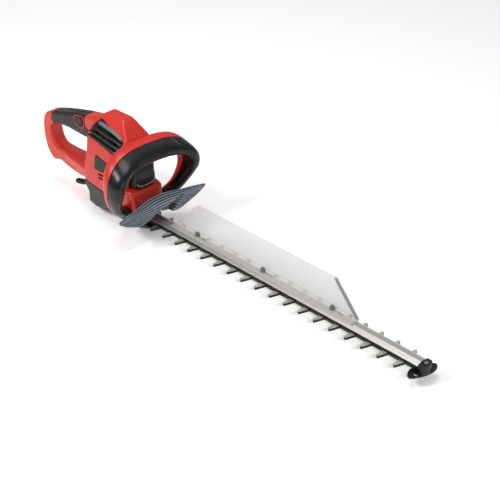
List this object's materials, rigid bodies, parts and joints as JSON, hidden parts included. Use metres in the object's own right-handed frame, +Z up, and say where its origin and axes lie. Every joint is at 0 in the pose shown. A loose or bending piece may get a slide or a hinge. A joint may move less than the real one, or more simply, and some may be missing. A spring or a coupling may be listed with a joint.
{
  "type": "electric hedge trimmer",
  "caption": "Corded hedge trimmer: long double-sided reciprocating blade, rear D-handle with trigger, front bail handle, hand guard and a clear cuttings collector on the blade cover.",
  "frame": {"origin": "middle of the bounding box in plan, at the flat underside of the gear housing's base", "axes": "+X along the blade towards its tip, +Y to the tool's left (the collector's side), +Z up"},
  "size_m": [1.0146, 0.218, 0.224],
  "materials": {
    "red_plastic": "satin",
    "black_plastic": "matte",
    "soft_grip": "matte",
    "grey_plastic": "matte",
    "smoke_plastic": "satin",
    "clear_plastic": "glossy",
    "aluminium": "satin",
    "dark_rail": "satin",
    "steel": "satin",
    "copper": "satin",
    "carbon": "matte"
  },
  "bodies": {
    "tool_body": {"housing_right": "red_plastic", "housing_left": "red_plastic", "bail_shell": "red_plastic", "vent_grille_right": "black_plastic", "vent_grille_left": "black_plastic", "base_cover": "black_plastic", "tip_guard": "black_plastic", "collector_stud_1": "black_plastic", "collector_stud_2": "black_plastic", "collector_stud_3": "black_plastic", "grip_right": "soft_grip", "grip_left": "soft_grip", "bail_grip": "soft_grip", "cord_gland": "soft_grip", "badge_right": "grey_plastic", "badge_left": "grey_plastic", "gear_housing": "grey_plastic", "rear_switch": "grey_plastic", "capacitor": "grey_plastic", "front_microswitch": "grey_plastic", "hand_guard": "smoke_plastic", "blade_cover": "aluminium", "gear_plate": "aluminium", "carrier_rail": "dark_rail", "base_screw_1": "steel", "base_screw_2": "steel", "base_screw_3": "steel", "bearing_lower": "steel", "bearing_upper": "steel", "gear_axle": "steel", "guide_bolt_1": "steel", "guide_bolt_2": "steel", "guide_bolt_3": "steel", "guide_bolt_4": "steel", "guide_bolt_5": "steel", "guide_bolt_6": "steel", "tip_screw": "steel", "guard_screw_right": "steel", "guard_screw_left": "steel", "housing_screw_1": "steel", "housing_screw_2": "steel", "housing_screw_3": "steel", "stator": "copper", "brush_holder_right": "copper", "brush_holder_left": "copper", "brush_right": "carbon", "brush_left": "carbon"},
    "rotor": {"armature": "copper", "commutator": "copper", "fan": "black_plastic", "pinion": "steel"},
    "gear": {"drive_gear": "steel", "eccentric_upper": "steel", "eccentric_lower": "steel"},
    "upper_blade": {"blade_upper": "steel"},
    "lower_blade": {"blade_lower": "steel"},
    "trigger_lever": {"trigger": "black_plastic"},
    "safety_button": {"lock_button": "black_plastic"},
    "front_switch_bar": {"front_paddle": "black_plastic"},
    "cuttings_collector": {"collector": "clear_plastic"}
  },
  "joints": [
    {"name": "motor_spin", "type": "hinge", "parent": "tool_body", "child": "rotor", "pos_m": [-0.27217, 0, 0.116], "axis": [0, 0, 1], "continuous": true},
    {"name": "gear_spin", "type": "hinge", "parent": "tool_body", "child": "gear", "pos_m": [-0.23197, 0, 0.0415], "axis": [0, 0, 1], "continuous": true},
    {"name": "upper_blade_stroke", "type": "slide", "parent": "tool_body", "child": "upper_blade", "axis": [1, 0, 0], "range_m": [-0.008, 0.008]},
    {"name": "lower_blade_stroke", "type": "slide", "parent": "tool_body", "child": "lower_blade", "axis": [1, 0, 0], "range_m": [-0.008, 0.008]},
    {"name": "trigger_squeeze", "type": "hinge", "parent": "tool_body", "child": "trigger_lever", "pos_m": [-0.44217, 0, 0.148], "axis": [0, -1, 0], "range_deg": [0, 5.5], "stiffness_Nm_per_rad": 0.6, "springref_deg": -2.86},
    {"name": "lock_button_press", "type": "slide", "parent": "tool_body", "child": "safety_button", "axis": [0, 1, 0], "range_m": [0, 0.003], "stiffness_N_per_m": 700, "springref_m": -0.001},
    {"name": "front_switch_press", "type": "hinge", "parent": "tool_body", "child": "front_switch_bar", "pos_m": [-0.22017, 0, 0.095], "axis": [0, -1, 0], "range_deg": [0, 4], "stiffness_Nm_per_rad": 1.5, "springref_deg": -2.86},
    {"name": "collector_slide", "type": "slide", "parent": "tool_body", "child": "cuttings_collector", "axis": [1, 0, 0], "range_m": [-0.02, 0]}
  ],
  "couplings": [
    {"joint": "gear_spin", "follows": "motor_spin", "ratio": -0.14286},
    {"joint": "lower_blade_stroke", "follows": "upper_blade_stroke", "ratio": -1}
  ]
}
